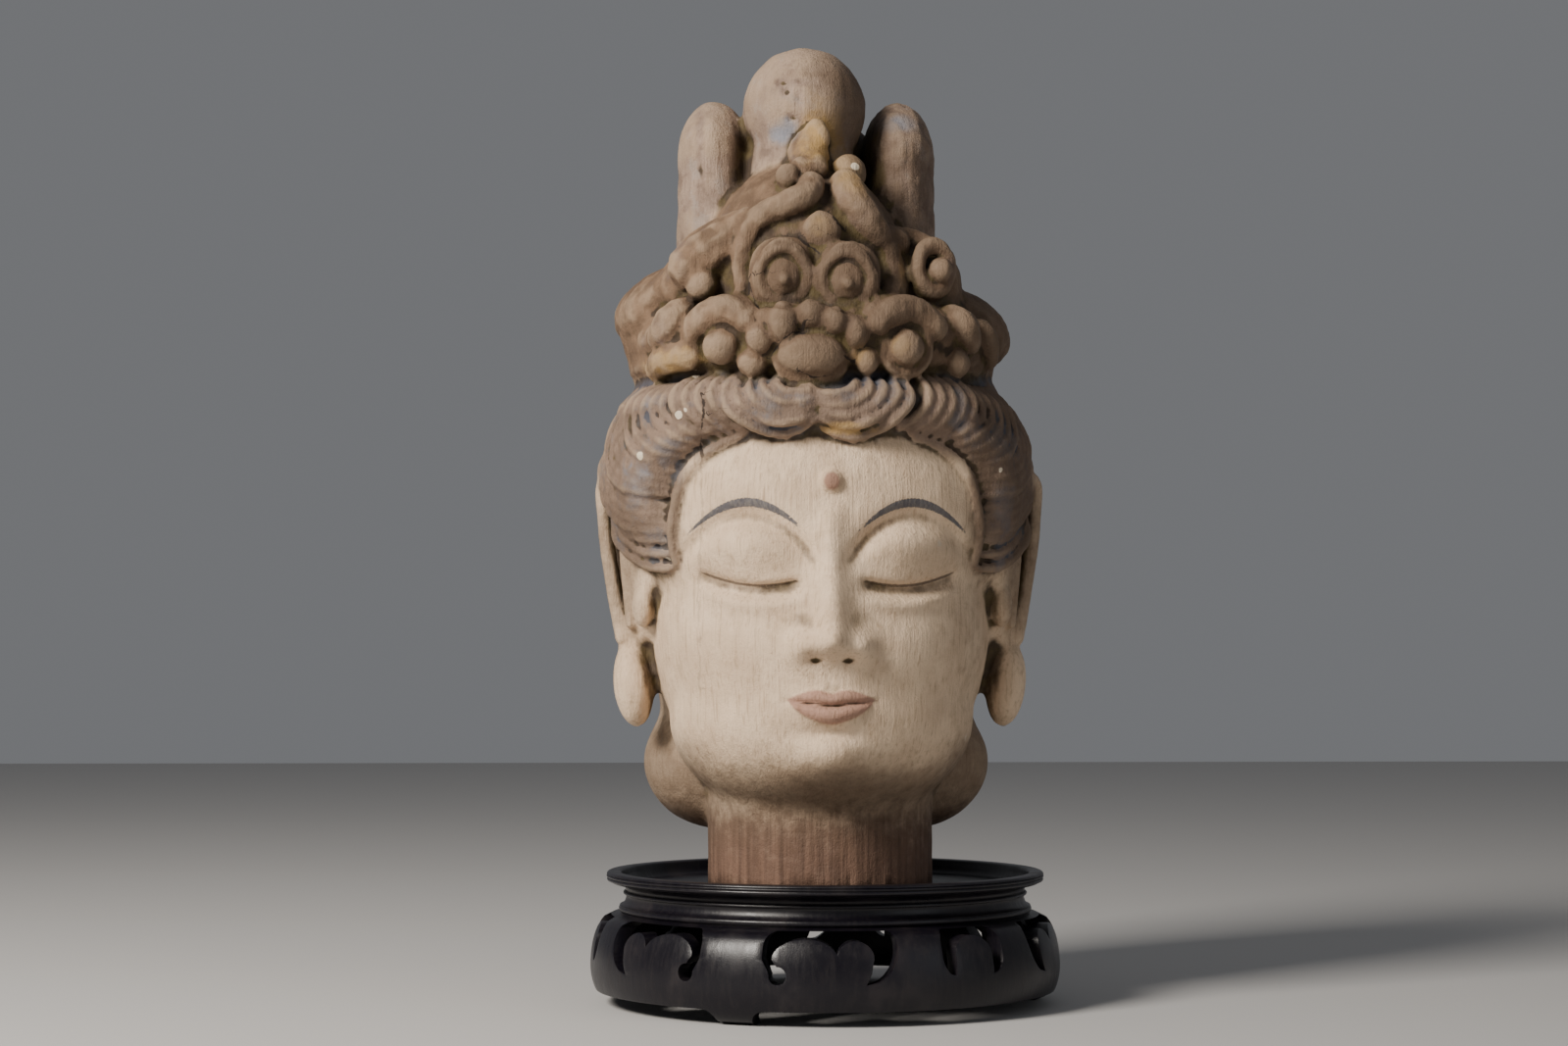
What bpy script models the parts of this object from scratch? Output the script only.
"""Carved wooden head of a bodhisattva, standing loose in the tray of a pierced dark wood stand.

Metres, +Z up. The origin is on the surface the stand is set on, at the centre of the stand, and
the face looks along -Y. The head is measured in fingers, the carver's unit: the whole head is
thirty fingers tall and the face, from chin to hairline, is twelve.
"""

import math

import bmesh
import bpy
import numpy as np
from mathutils import Vector
from mathutils.bvhtree import BVHTree

# Head, driving sizes
HEAD_HEIGHT = 0.342
NECK_RADIUS = 0.0455
HEAD_SHIFT = -0.002
SEAT_GAP = 0.0003

# Stand, driving sizes
APRON_RADIUS = 0.0950
APRON_TOP_RADIUS = 0.0865
APRON_FOOT_RADIUS = 0.0850
APRON_HEIGHT = 0.0310
APRON_WALL = 0.0065
FOOT_COUNT = 3
FOOT_HEIGHT = 0.0060
FOOT_WIDTH = 0.0150
FOOT_FLARE = 0.0055
FOOT_TURN = math.radians(-26)
COLLAR_RADIUS = 0.0835
COLLAR_HEIGHT = 0.0075
WAIST_RADIUS = 0.0805
COVE_HEIGHT = 0.0045
LIP_RADIUS = 0.0885
LIP_HEIGHT = 0.0040
LIP_WIDTH = 0.0060
TRAY_DEPTH = 0.0060
TRAY_FLOOR = 0.0065
POST_WIDTH = 0.0260
SLOT_WIDTH = 0.0038
SLOT_TOP = 0.0012
LOBE_DROP = 0.0026
HOLE_RADIUS = 0.0034
BIG_LOBE = 0.0127
SMALL_LOBE = 0.0072
ARCH_LOBE = 0.0090
HOOK_WIDTH = 0.0098

# Heights worked out from those
APRON_TOP = FOOT_HEIGHT + APRON_HEIGHT
COLLAR_TOP = APRON_TOP + COLLAR_HEIGHT
LIP_BOTTOM = COLLAR_TOP + COVE_HEIGHT
STAND_HEIGHT = LIP_BOTTOM + LIP_HEIGHT
TRAY_TOP = STAND_HEIGHT - TRAY_DEPTH
TRAY_UNDERSIDE = TRAY_TOP - TRAY_FLOOR

# Head proportions, in fingers above the neck's base
FINGER = HEAD_HEIGHT / 30
CHIN = 3.75
FACE = 12.0
HAIRLINE = CHIN + FACE
CROWN_MIDDLE = -0.7

# How finely the clay is gathered into one skin, and the facets that are kept
BASE_VOXEL = 0.23 * FINGER
SKIN_VOXEL = 0.155 * FINGER
HEAD_FACETS = 5400
STAND_STEPS = 36


def clear_scene():
    """Removes what a new Blender file holds."""
    for thing in list(bpy.data.objects):
        bpy.data.objects.remove(thing, do_unlink=True)


def paint(name, colour, roughness):
    """A Principled material of one colour."""
    material = bpy.data.materials.new(name)
    material.use_nodes = True
    shader = material.node_tree.nodes["Principled BSDF"]
    shader.inputs["Base Color"].default_value = (*colour, 1)
    shader.inputs["Roughness"].default_value = roughness
    return material


def only(thing):
    """Makes one object the selected and active one."""
    bpy.ops.object.select_all(action="DESELECT")
    thing.select_set(True)
    bpy.context.view_layer.objects.active = thing


def applied(thing, kind, **settings):
    """Puts one modifier on an object and applies it."""
    only(thing)
    modifier = thing.modifiers.new(kind.title(), kind)
    for name, value in settings.items():
        setattr(modifier, name, value)
    bpy.ops.object.modifier_apply(modifier=modifier.name)
    return thing


def joined(pieces, name):
    """Joins the pieces of clay into one object, with its origin at the neck's base."""
    bpy.ops.object.select_all(action="DESELECT")
    for piece in pieces:
        piece.select_set(True)
    bpy.context.view_layer.objects.active = pieces[0]
    bpy.ops.object.join()
    bpy.ops.object.transform_apply(location=True, rotation=True, scale=True)
    whole = bpy.context.object
    whole.name = name
    return whole


def fingers(values):
    """Turns fingers into metres."""
    return [FINGER * value for value in values]


def ball(at, radii, turn=(0, 0, 0)):
    """A lump of clay: an ellipsoid, with its centre and radii in fingers and its turn in degrees."""
    bpy.ops.mesh.primitive_uv_sphere_add(
        segments=32,
        ring_count=18,
        radius=1,
        location=fingers(at),
        rotation=[math.radians(angle) for angle in turn],
        scale=fingers(radii),
    )
    return bpy.context.object


def ring(at, radius, thickness, turn=(90, 0, 0), stretch=(1, 1, 1)):
    """A ring of clay, facing the front unless it is turned."""
    bpy.ops.mesh.primitive_torus_add(
        major_segments=32,
        minor_segments=12,
        major_radius=radius * FINGER,
        minor_radius=thickness * FINGER,
        location=fingers(at),
        rotation=[math.radians(angle) for angle in turn],
    )
    bpy.context.object.scale = stretch
    return bpy.context.object


def roll(points, radii):
    """A tapering roll of clay along a smooth line through points given in fingers."""
    curve = bpy.data.curves.new("roll", "CURVE")
    curve.dimensions = "3D"
    curve.bevel_depth = FINGER
    curve.bevel_resolution = 4
    curve.resolution_u = 6
    curve.use_fill_caps = True
    spline = curve.splines.new("BEZIER")
    spline.bezier_points.add(len(points) - 1)
    for knot, point, radius in zip(spline.bezier_points, points, radii):
        knot.co = fingers(point)
        knot.radius = radius
        knot.handle_left_type = knot.handle_right_type = "AUTO"
    thing = bpy.data.objects.new("roll", curve)
    bpy.context.collection.objects.link(thing)
    only(thing)
    bpy.ops.object.convert(target="MESH")
    rolled = bpy.context.object
    for end, radius in ((points[0], radii[0]), (points[-1], radii[-1])):
        cap = ball(end, (radius, radius, radius))
        rolled = joined([rolled, cap], "roll")
    return rolled


def gathered(thing, voxel, smoothing):
    """Draws one skin over overlapping clay and smooths it."""
    applied(thing, "REMESH", mode="VOXEL", voxel_size=voxel)
    return applied(thing, "SMOOTH", factor=0.5, iterations=smoothing)


def face_window():
    """The arch that the hair leaves open for the face, as a prism along Y."""
    width, height, middle, power = 6.0, 5.3, HAIRLINE - 5.2, 4.4
    steps = 40
    curve = bpy.data.curves.new("face_window", "CURVE")
    curve.dimensions = "2D"
    curve.fill_mode = "BOTH"
    curve.extrude = 4.2 * FINGER
    spline = curve.splines.new("POLY")
    spline.points.add(steps - 1)
    for index, point in enumerate(spline.points):
        angle = 2 * math.pi * index / steps
        across, up = math.cos(angle), math.sin(angle)
        low = 9.0 / height if up < 0 else 1.0
        point.co = (
            FINGER * width * math.copysign(abs(across) ** (2 / power), across),
            FINGER * (middle + height * low * math.copysign(abs(up) ** (2 / power), up)),
            0,
            1,
        )
    spline.use_cyclic_u = True
    window = bpy.data.objects.new("face_window", curve)
    bpy.context.collection.objects.link(window)
    window.rotation_euler = (math.radians(90), 0, 0)
    window.location = (0, -5.4 * FINGER, 0)
    only(window)
    bpy.ops.object.convert(target="MESH")
    window = bpy.context.object
    mesh = bmesh.new()
    mesh.from_mesh(window.data)
    bmesh.ops.remove_doubles(mesh, verts=mesh.verts, dist=1e-5)
    bmesh.ops.recalc_face_normals(mesh, faces=mesh.faces)
    mesh.to_mesh(window.data)
    mesh.free()
    return window


def hair_cap():
    """The mass of hair over the skull, opened in front for the face."""
    cap = ball((-0.15, 0.2, 14.5), (7.4, 7.2, 6.6))
    band_of_hair = ball((-0.3, 0.1, 16.7), (7.0, 7.0, 1.9))
    window = face_window()
    applied(cap, "BOOLEAN", operation="DIFFERENCE", object=window, solver="EXACT")
    applied(band_of_hair, "BOOLEAN", operation="DIFFERENCE", object=window, solver="EXACT")
    bpy.data.objects.remove(window, do_unlink=True)
    return [cap, band_of_hair]


def ear(side):
    """A long ear: rim, hollowed shell and a hanging lobe. side is -1 or 1."""
    rim = roll(
        [
            (side * 6.5, -0.9, 11.2),
            (side * 7.0, -0.5, 13.9),
            (side * 7.75, 0.7, 14.5),
            (side * 7.8, 1.5, 13.0),
            (side * 7.45, 1.3, 10.6),
            (side * 7.0, 0.5, 8.7),
        ],
        [0.3, 0.35, 0.36, 0.34, 0.34, 0.4],
    )
    shell = ball((side * 6.75, 0.6, 11.4), (0.75, 1.5, 3.0), (0, side * 8, side * -16))
    lobe = ball((side * 6.65, -0.2, 7.1), (0.72, 0.95, 1.55), (0, side * 6, 0))
    stem = ball((side * 6.5, 0.3, 9.0), (0.75, 1.0, 1.7))
    return [rim, shell, lobe, stem]


def hair_loops():
    """The tall knot of hair above the crown: a loop in the middle, one each side, one behind."""
    pieces = [
        ball((-0.6, -0.9, 27.65), (2.2, 2.3, 2.35)),
        ball((-0.7, -0.8, 25.0), (1.9, 2.1, 3.6)),
        ball((-0.5, 2.1, 24.6), (3.3, 1.9, 3.6)),
        ball((-0.5, 0.9, 21.9), (4.7, 3.6, 3.0)),
    ]
    for middle in (-3.8, 2.85):
        pieces.append(ball((middle, 0.6, 26.0), (1.32, 2.2, 2.15)))
        pieces.append(ball((middle, 0.6, 23.4), (1.36, 2.3, 3.0)))
    return pieces


def crown_body():
    """The broad foot of the crown, its two side wings and the plaque that leans on the hair."""
    return [
        ball((CROWN_MIDDLE + 0.4, 0.0, 19.1), (6.7, 7.0, 2.1)),
        ball((CROWN_MIDDLE + 0.4, 0.0, 18.3), (6.6, 6.9, 1.3)),
        ball((CROWN_MIDDLE, -1.4, 20.0), (4.3, 4.9, 5.9)),
        ball((-4.2, -2.3, 21.2), (1.8, 2.3, 1.7)),
        ball((3.3, -2.3, 21.0), (1.6, 2.3, 1.7)),
        ball((-5.5, 0.2, 20.6), (2.2, 3.4, 1.35), (0, -30, 0)),
        ball((4.9, 0.2, 19.9), (2.1, 3.2, 1.3), (0, 24, 0)),
    ]


def base_clay():
    """Skull, cheeks, neck, hair, ears and the crown's body, gathered into one smooth skin."""
    pieces = [
        ball((0, -0.05, 9.3), (6.05, 6.6, 7.05)),
        ball((0, 0.25, 13.2), (6.85, 7.0, 6.6)),
        ball((0, -1.0, 6.0), (5.4, 5.4, 3.8)),
        ball((0, 2.4, 9.6), (6.3, 5.0, 7.2)),
    ]
    pieces += hair_cap()
    bpy.ops.mesh.primitive_cylinder_add(
        vertices=48,
        radius=NECK_RADIUS,
        depth=7 * FINGER,
        location=(0, 0, 2.5 * FINGER),
    )
    pieces.append(bpy.context.object)
    for side in (-1, 1):
        pieces.append(ball((side * 3.25, 2.5, 4.3), (3.2, 3.0, 2.5)))
        pieces.append(ball((side * 6.2, -0.4, 11.6), (0.75, 2.0, 3.0)))
        pieces += ear(side)
    pieces.append(ball((0, 3.6, 4.6), (4.6, 3.2, 2.7)))
    pieces += hair_loops()
    pieces += crown_body()
    return gathered(joined(pieces, "base"), BASE_VOXEL, 6)


def bump(u, v, at, spread):
    """A soft mound of height one."""
    return np.exp(-(((u - at[0]) / spread[0]) ** 2) - ((v - at[1]) / spread[1]) ** 2)


def band(u, low, high, soft):
    """One between low and high, falling softly to nothing beyond them."""
    return 1 / (1 + np.exp(-(u - low) / soft)) / (1 + np.exp((u - high) / soft))


def brow_line(u):
    """Height of the brow's arch above the chin, at u fingers from the face's middle."""
    along = np.clip((u - 0.55) / 4.6, 0, 1)
    return 8.0 + 1.5 * np.sin(math.pi * along) ** 0.8


def eye_line(u):
    """Height of the lowered lid's edge above the chin."""
    along = np.clip((u - 1.0) / 3.4, 0, 1)
    return 6.95 - 0.22 * np.sin(math.pi * along) + 0.35 * along**2


def face_relief(x, z):
    """How far the face stands out of the plain egg of the head, in fingers.

    The places follow the old canon of twelve fingers: brow root eight above the chin, base of
    the nose four, mouth a little under three.
    """
    u, v = np.abs(x), z - CHIN
    brow, lid = brow_line(u), eye_line(u)
    eye = band(u, 1.1, 4.3, 0.12)
    relief = 0.25 * bump(u, v, (3.1, 4.4), (2.2, 2.2))
    relief += 0.5 * bump(u, v, (2.7, 7.9), (1.6, 0.95))
    relief -= 0.36 * band(u, 0.7, 4.8, 0.2) * np.exp(-(((v - brow + 0.42) / 0.4) ** 2))
    relief -= 0.36 * eye * np.exp(-(((v - lid + 0.2) / 0.2) ** 2))
    relief += 0.2 * eye * np.exp(-(((v - lid + 0.62) / 0.22) ** 2))
    fall = np.clip((8.6 - v) / 4.2, 0, 1)
    ridge = np.exp(-((u / (0.48 + 0.25 * fall)) ** 2)) * band(v, 4.3, 9.0, 0.13)
    relief += (0.32 + 0.65 * fall**1.3) * ridge
    relief += 0.5 * bump(u, v, (0, 4.75), (0.62, 0.6))
    relief += 0.6 * bump(u, v, (0.98, 4.65), (0.42, 0.45))
    relief += 0.4 * bump(u, v, (0, 2.9), (1.9, 1.2))
    lips = band(u, -1.4, 1.4, 0.1)
    relief += 0.3 * lips * np.exp(-(((v - 3.15) / 0.24) ** 2))
    relief += 0.34 * np.exp(-((u / 0.95) ** 4)) * np.exp(-(((v - 2.4) / 0.28) ** 2))
    relief -= 0.34 * lips * np.exp(-(((v - 2.78) / 0.14) ** 2))
    relief += 0.6 * bump(u, v, (0, 0.95), (1.3, 0.85))
    relief -= 0.18 * bump(u, v, (0, 1.85), (0.9, 0.28))
    return relief


def carve_face(base):
    """Moves the skin inside the face's arch forwards by the relief."""
    places = np.empty(3 * len(base.data.vertices))
    base.data.vertices.foreach_get("co", places)
    places = places.reshape(-1, 3)
    x, y, z = (places / FINGER).T
    inside = band(np.abs(x), -5.4, 5.4, 0.2) * band(z, CHIN - 1.5, HAIRLINE - 0.4, 0.25)
    forward = np.clip(-(y + 2.5) / 1.5, 0, 1)
    places[:, 1] -= FINGER * face_relief(x, z) * inside * forward
    base.data.vertices.foreach_set("co", places.ravel())
    base.data.update()


def surface_of(thing):
    """A function that gives the depth of a thing's front at (x, z), all in fingers."""
    tree = BVHTree.FromObject(thing, bpy.context.evaluated_depsgraph_get())

    def depth(x, z):
        start = Vector(fingers((x, -20, z)))
        hit = tree.ray_cast(start, Vector((0, 1, 0)))[0]
        return hit.y / FINGER

    return depth


def strip(front, points):
    """A roll of clay laid on the surface, through points (x, z, radius, how far it stands out)."""
    return roll(
        [(x, front(x, z) - out, z) for x, z, _, out in points],
        [radius for _, _, radius, _ in points],
    )


def stud(front, x, z, radii, out=0.0):
    """A lump of clay set on the surface at (x, z)."""
    return ball((x, front(x, z) - out, z), radii)


def locks(front):
    """The waved locks of the hairline: two in front, then a row down each temple."""
    pieces = []
    for x, z, width, height in ((-2.15, 16.5, 1.75, 1.05), (0.85, 16.4, 1.95, 1.1)):
        pieces.append(stud(front, x, z, (width, 0.6, height), -0.1))
    for side in (-1, 1):
        for step in range(5):
            angle = math.radians(37 + 12 * step)
            x = side * 6.95 * math.sin(angle) - 0.6 * (1 - step / 5)
            z = 16.5 - 0.72 * step
            y = -6.9 * math.cos(angle) + 0.5
            pieces.append(ball((x, y, z), (1.0, 0.85, 1.25), (0, side * 38, side * 40)))
    return pieces


def rosette(front, x, z):
    """A pointed round frame with a nippled boss in its middle."""
    y = front(x, z)
    return [
        ring((x, y - 0.1, z + 0.3), 0.86, 0.32, turn=(103, 0, 0), stretch=(1, 1.12, 1)),
        ball((x, y + 0.1, z + 0.3), (0.9, 0.4, 1.0), (-13, 0, 0)),
        stud(front, x + 0.1, z + 1.3, (0.4, 0.35, 0.5), 0.1),
        ball((x, y - 0.1, z), (0.5, 0.5, 0.5)),
        ball((x, y - 0.5, z - 0.05), (0.22, 0.28, 0.22)),
    ]


def crown_scrolls(front):
    """The rolled leaves of the crown: two arms up to the finial, a side roll and a volute."""
    return [
        strip(
            front,
            [
                (-2.85, 21.9, 0.4, 0.1),
                (-2.55, 22.8, 0.48, 0.2),
                (-1.75, 23.4, 0.52, 0.3),
                (-0.9, 23.75, 0.5, 0.3),
                (-0.45, 24.4, 0.42, 0.2),
            ],
        ),
        stud(front, -0.85, 24.9, (0.5, 0.5, 0.8)),
        stud(front, -1.37, 24.9, (0.4, 0.45, 0.4), 0.25),
        strip(
            front,
            [
                (2.1, 22.1, 0.42, 0.1),
                (1.15, 23.0, 0.6, 0.2),
                (0.5, 24.0, 0.6, 0.3),
                (0.4, 24.9, 0.5, 0.3),
                (0.85, 25.4, 0.45, 0.2),
            ],
        ),
        stud(front, 1.2, 25.05, (0.42, 0.5, 0.42), 0.3),
        ball((-0.2, -3.9, 25.9), (0.85, 0.8, 1.05), (22, 0, 0)),
        ball((-0.05, -3.4, 26.8), (0.4, 0.45, 0.65), (22, 0, 0)),
        strip(front, [(-2.4, 22.95, 0.6, 0), (-3.6, 22.2, 0.9, 0), (-4.55, 21.45, 0.7, 0)]),
        stud(front, -4.3, 20.8, (0.57, 0.57, 0.57), 0.3),
        strip(front, [(1.9, 22.5, 0.5, 0), (2.9, 22.5, 0.55, 0.1), (3.8, 22.2, 0.4, 0.1)]),
        ring((3.65, -4.55, 21.45), 0.66, 0.32, turn=(90, 0, 22), stretch=(0.9, 1.1, 1)),
        ball((3.85, -4.6, 21.4), (0.4, 0.5, 0.4)),
        strip(front, [(2.55, 22.2, 0.25, 0.1), (2.55, 21.2, 0.3, 0.2), (2.6, 20.4, 0.25, 0.1)]),
    ]


def crown_carving(front):
    """Medallion, rosettes, buds, pearls and leaves on the front of the crown."""
    medallion = (-0.68, front(-0.68, 18.1) - 0.15, 18.1)
    pieces = [
        ball(medallion, (1.15, 0.5, 0.62)),
        ring(medallion, 1.0, 0.2, turn=(84, 0, 0), stretch=(1.22, 0.95, 1)),
        stud(front, -0.22, 22.6, (0.68, 0.5, 0.85), 0.1),
    ]
    pieces += rosette(front, -1.6, 20.8)
    pieces += rosette(front, 0.56, 20.68)
    for x, z, radius in (
        (-2.4, 18.8, 0.4),
        (-2.6, 18.05, 0.45),
        (-1.67, 19.4, 0.48),
        (-0.65, 19.7, 0.42),
        (0.21, 19.5, 0.38),
        (0.95, 19.0, 0.38),
        (-3.7, 18.5, 0.6),
        (1.2, 18.05, 0.42),
        (2.56, 18.5, 0.66),
        (4.3, 18.15, 0.6),
    ):
        pieces.append(stud(front, x, z, (radius, radius, radius), 0.1))
    for points in (
        [(-4.7, 18.8, 0.3, 0), (-4.3, 19.6, 0.42, 0.1), (-3.55, 20.0, 0.45, 0.1), (-2.7, 19.5, 0.3, 0)],
        [(1.5, 19.3, 0.3, 0), (2.0, 19.9, 0.42, 0.1), (2.8, 20.0, 0.45, 0.1), (3.7, 19.3, 0.4, 0.1)],
        [(-5.8, 18.9, 0.35, 0), (-5.3, 19.55, 0.6, 0.1), (-4.8, 20.15, 0.4, 0)],
        [(-5.9, 18.0, 0.4, 0), (-5.3, 18.45, 0.5, 0), (-4.6, 18.5, 0.4, 0)],
        [(4.2, 19.95, 0.4, 0), (4.7, 19.45, 0.55, 0.1), (4.95, 18.8, 0.45, 0.1)],
        [(5.3, 19.6, 0.4, 0), (5.65, 19.1, 0.45, 0), (5.7, 18.4, 0.4, 0)],
    ):
        pieces.append(strip(front, points))
    return pieces


def head(material):
    """The whole head as one solid, cut flat at the neck's base."""
    base = base_clay()
    carve_face(base)
    front = surface_of(base)
    pieces = [base]
    pieces.append(ball((0, front(0, CHIN + 10.2), CHIN + 10.2), (0.4, 0.3, 0.4)))
    pieces += locks(front)
    pieces += crown_scrolls(front)
    pieces += crown_carving(front)
    carved = gathered(joined(pieces, "bodhisattva_head"), SKIN_VOXEL, 1)
    faces = sum(len(polygon.vertices) - 2 for polygon in carved.data.polygons)
    applied(carved, "DECIMATE", ratio=HEAD_FACETS / faces)
    mesh = bmesh.new()
    mesh.from_mesh(carved.data)
    everything = mesh.verts[:] + mesh.edges[:] + mesh.faces[:]
    cut = bmesh.ops.bisect_plane(
        mesh, geom=everything, plane_co=(0, 0, 0), plane_no=(0, 0, 1), clear_inner=True
    )
    rim = [item for item in cut["geom_cut"] if isinstance(item, bmesh.types.BMEdge)]
    bmesh.ops.contextual_create(mesh, geom=rim)
    bmesh.ops.triangulate(mesh, faces=mesh.faces)
    mesh.to_mesh(carved.data)
    mesh.free()
    carved.location = (HEAD_SHIFT, 0, TRAY_TOP + SEAT_GAP)
    carved.data.materials.clear()
    carved.data.materials.append(material)
    carved.data.shade_smooth()
    return carved


def arc(middle, radius, start, end, steps):
    """Points along part of a circle, angles in degrees."""
    angles = [math.radians(start + (end - start) * step / steps) for step in range(steps + 1)]
    return [
        (middle[0] + radius * math.cos(angle), middle[1] + radius * math.sin(angle))
        for angle in angles
    ]


def turned_profile():
    """Half section of the stand, from the tray's centre over the lip, down the outside, and back."""
    rim_inner = LIP_RADIUS - LIP_WIDTH
    bead = LIP_HEIGHT * 0.3
    shoulder = APRON_TOP - 0.0015
    points = [(0, TRAY_TOP), (rim_inner - TRAY_DEPTH * 0.6, TRAY_TOP)]
    points += [(rim_inner, STAND_HEIGHT - 0.0008), (rim_inner + 0.001, STAND_HEIGHT)]
    points += [(LIP_RADIUS - 0.0012, STAND_HEIGHT), (LIP_RADIUS, STAND_HEIGHT - bead)]
    points += [(LIP_RADIUS, LIP_BOTTOM + bead), (LIP_RADIUS - 0.0015, LIP_BOTTOM)]
    points += [(WAIST_RADIUS + 0.0025, LIP_BOTTOM - COVE_HEIGHT * 0.45), (WAIST_RADIUS, COLLAR_TOP)]
    points += [(WAIST_RADIUS + 0.0012, COLLAR_TOP - 0.001), (WAIST_RADIUS, COLLAR_TOP - 0.002)]
    points += [(WAIST_RADIUS + 0.0005, COLLAR_TOP - COLLAR_HEIGHT * 0.55)]
    points += [(COLLAR_RADIUS, APRON_TOP + COLLAR_HEIGHT * 0.25), (COLLAR_RADIUS, APRON_TOP)]
    points += apron_curve(0.0, APRON_TOP_RADIUS, shoulder, 8)
    points += [(APRON_FOOT_RADIUS - APRON_WALL, 0)]
    points += apron_curve(APRON_WALL, APRON_TOP_RADIUS, shoulder, 4)[::-1][1:]
    points += [(WAIST_RADIUS - APRON_WALL, TRAY_UNDERSIDE), (0, TRAY_UNDERSIDE)]
    return points


def apron_curve(inset, top_radius, top, steps):
    """The bellied outside of the apron from its top to the floor, moved inwards by inset."""
    widest = 0.44 * top
    points = []
    for step in range(steps + 1):
        height = top * (1 - step / steps)
        end = top_radius if height > widest else APRON_FOOT_RADIUS
        reach = (height - widest) / ((top - widest) if height > widest else widest)
        points.append((end + (APRON_RADIUS - end) * math.sqrt(1 - reach * reach) - inset, height))
    return points


def turned(name, profile):
    """Spins a half section about Z into a closed solid."""
    mesh = bpy.data.meshes.new(name)
    vertices = [(radius, 0, height) for radius, height in profile]
    mesh.from_pydata(vertices, [(i, i + 1) for i in range(len(vertices) - 1)], [])
    thing = bpy.data.objects.new(name, mesh)
    bpy.context.collection.objects.link(thing)
    return applied(
        thing,
        "SCREW",
        steps=STAND_STEPS,
        render_steps=STAND_STEPS,
        use_merge_vertices=True,
        merge_threshold=0.00005,
        use_normal_calculate=True,
    )


def bent_cutter(outline, inner, outer, turn):
    """Stands a flat outline (distance round the apron, height) up as a radial cutter."""
    mesh = bmesh.new()
    loop = [mesh.verts.new((along, 0, height)) for along, height in outline]
    flat = bmesh.ops.triangulate(mesh, faces=[mesh.faces.new(loop)], ngon_method="BEAUTY")
    grown = bmesh.ops.extrude_face_region(mesh, geom=flat["faces"], use_keep_orig=True)
    far = {item for item in grown["geom"] if isinstance(item, bmesh.types.BMVert)}
    for vertex in mesh.verts:
        radius = outer if vertex in far else inner
        angle = vertex.co.x / APRON_RADIUS + turn
        vertex.co = (radius * math.sin(angle), -radius * math.cos(angle), vertex.co.z)
    bmesh.ops.recalc_face_normals(mesh, faces=mesh.faces)
    if mesh.calc_volume(signed=True) < 0:
        bmesh.ops.reverse_faces(mesh, faces=mesh.faces)
    data = bpy.data.meshes.new("cutter")
    mesh.to_mesh(data)
    mesh.free()
    cutter = bpy.data.objects.new("cutter", data)
    bpy.context.collection.objects.link(cutter)
    return cutter


def dome(middle, half, rise, start, end, steps):
    """Points along part of an ellipse, angles in degrees."""
    angles = [math.radians(start + (end - start) * step / steps) for step in range(steps + 1)]
    return [
        (middle[0] + half * math.cos(angle), middle[1] + rise * math.sin(angle)) for angle in angles
    ]


def lobed_opening():
    """Outline of the wide opening: a drilled eye, a slot over two lobes, and a curled hook."""
    top = APRON_TOP - SLOT_TOP
    eye = (SLOT_WIDTH + HOLE_RADIUS * 0.7, FOOT_HEIGHT + 0.0136)
    big = (SLOT_WIDTH + BIG_LOBE, top - LOBE_DROP - BIG_LOBE * 0.58)
    small = (big[0] + (BIG_LOBE + SMALL_LOBE) * 0.98, top - LOBE_DROP - SMALL_LOBE * 0.95)
    right = small[0] + SMALL_LOBE + HOOK_WIDTH
    tip = (small[0] + SMALL_LOBE * 0.55, eye[1] - HOLE_RADIUS)
    outline = arc(eye, HOLE_RADIUS, 170, 455, 6)
    outline += dome(big, BIG_LOBE, BIG_LOBE * 0.58, 180, 14, 6)
    outline += dome(small, SMALL_LOBE, SMALL_LOBE * 0.85, 160, -20, 5)
    outline += [(small[0] + SMALL_LOBE * 0.85, small[1] - SMALL_LOBE * 0.8), tip]
    outline += dome((tip[0], top - 0.0050), right - tip[0], top - 0.0050 - tip[1], -68, 0, 3)
    outline += [(right - 0.0005, top - 0.0012), (right - 0.0020, top)]
    outline += dome((0.0050, top - 0.0055), 0.0050, 0.0055, 90, 180, 2)
    outline += [(0, eye[1] + 0.0060)]
    return outline


def arched_opening():
    """Outline of the narrow opening: a slot that bends down both sides of a single lobe."""
    top = APRON_TOP - SLOT_TOP
    half = ARCH_LOBE + HOOK_WIDTH * 0.62
    middle = top - LOBE_DROP - ARCH_LOBE * 0.75
    tip = (ARCH_LOBE * 1.02, FOOT_HEIGHT + 0.0125)
    side = dome((tip[0], middle), half - tip[0], middle - tip[1], -65, 0, 3)
    side += dome((half - 0.0040, top - 0.0055), 0.0040, 0.0055, 0, 90, 2)
    outline = [tip] + side
    outline += [(-along, height) for along, height in reversed(outline)]
    outline += dome((0, middle), ARCH_LOBE, ARCH_LOBE * 0.75, 180, 0, 6)
    return outline


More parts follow.
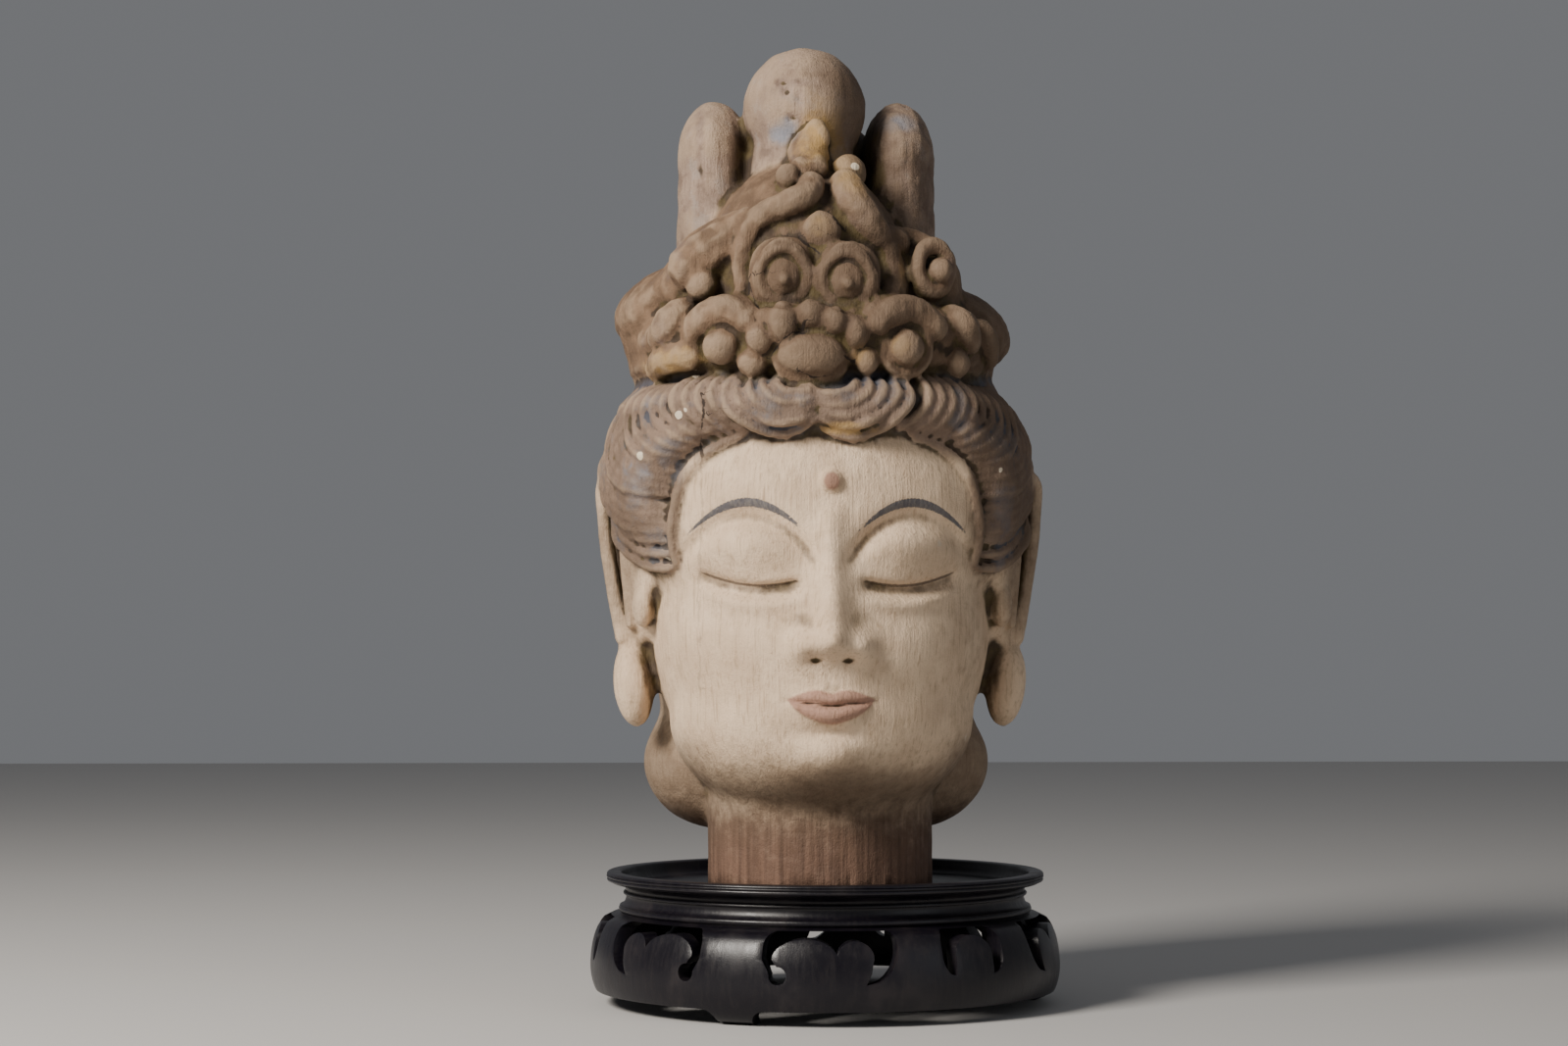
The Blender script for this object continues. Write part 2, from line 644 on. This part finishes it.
def foot_gap():
    """Outline of what is cut away under the apron between two feet."""
    spacing = 2 * math.pi * APRON_RADIUS / FOOT_COUNT
    start = FOOT_WIDTH / 2
    below = -0.002
    side = [
        (start + FOOT_FLARE * (1 - math.cos(math.radians(a))), FOOT_HEIGHT * math.sin(math.radians(a)))
        for a in range(0, 91, 30)
    ]
    steps = 10
    first, last = side[-1][0], spacing - side[-1][0]
    middle = [(first + (last - first) * step / steps, FOOT_HEIGHT) for step in range(1, steps)]
    under = [(start, below)] + [(along, below) for along, _ in middle] + [(spacing - start, below)]
    mirrored = [(spacing - along, height) for along, height in reversed(side)]
    return side + middle + mirrored + under[::-1]


def stand(material):
    """The round stand: a lipped tray on a waisted, bellied and pierced apron with short feet."""
    body = turned("display_stand", turned_profile())
    cutters = []
    inner, outer = APRON_TOP_RADIUS - 3 * APRON_WALL, APRON_RADIUS + 2 * APRON_WALL
    pitch = 2 * math.pi / FOOT_COUNT
    wide = lobed_opening()
    mirrored = [(-along, height) for along, height in reversed(wide)]
    for foot in range(FOOT_COUNT):
        turn = FOOT_TURN + pitch * foot
        edge = POST_WIDTH / 2 / APRON_RADIUS
        cutters.append(bent_cutter(wide, inner, outer, turn + edge))
        cutters.append(bent_cutter(mirrored, inner, outer, turn - edge))
        cutters.append(bent_cutter(arched_opening(), inner, outer, turn + pitch / 2))
        cutters.append(bent_cutter(foot_gap(), inner, outer, turn))
    for cutter in cutters:
        applied(body, "BOOLEAN", operation="DIFFERENCE", object=cutter, solver="EXACT")
        bpy.data.objects.remove(cutter, do_unlink=True)
    body.data.materials.clear()
    body.data.materials.append(material)
    only(body)
    bpy.ops.object.shade_smooth_by_angle(angle=math.radians(35))
    return body


def main():
    clear_scene()
    aged_paint = paint("aged paint on wood", (0.52, 0.44, 0.34), 0.8)
    dark_wood = paint("dark stained hardwood", (0.035, 0.028, 0.03), 0.35)
    group = bpy.data.collections.new("Bodhisattva head on stand")
    bpy.context.scene.collection.children.link(group)
    for thing in (head(aged_paint), stand(dark_wood)):
        for holder in list(thing.users_collection):
            holder.objects.unlink(thing)
        group.objects.link(thing)


main()
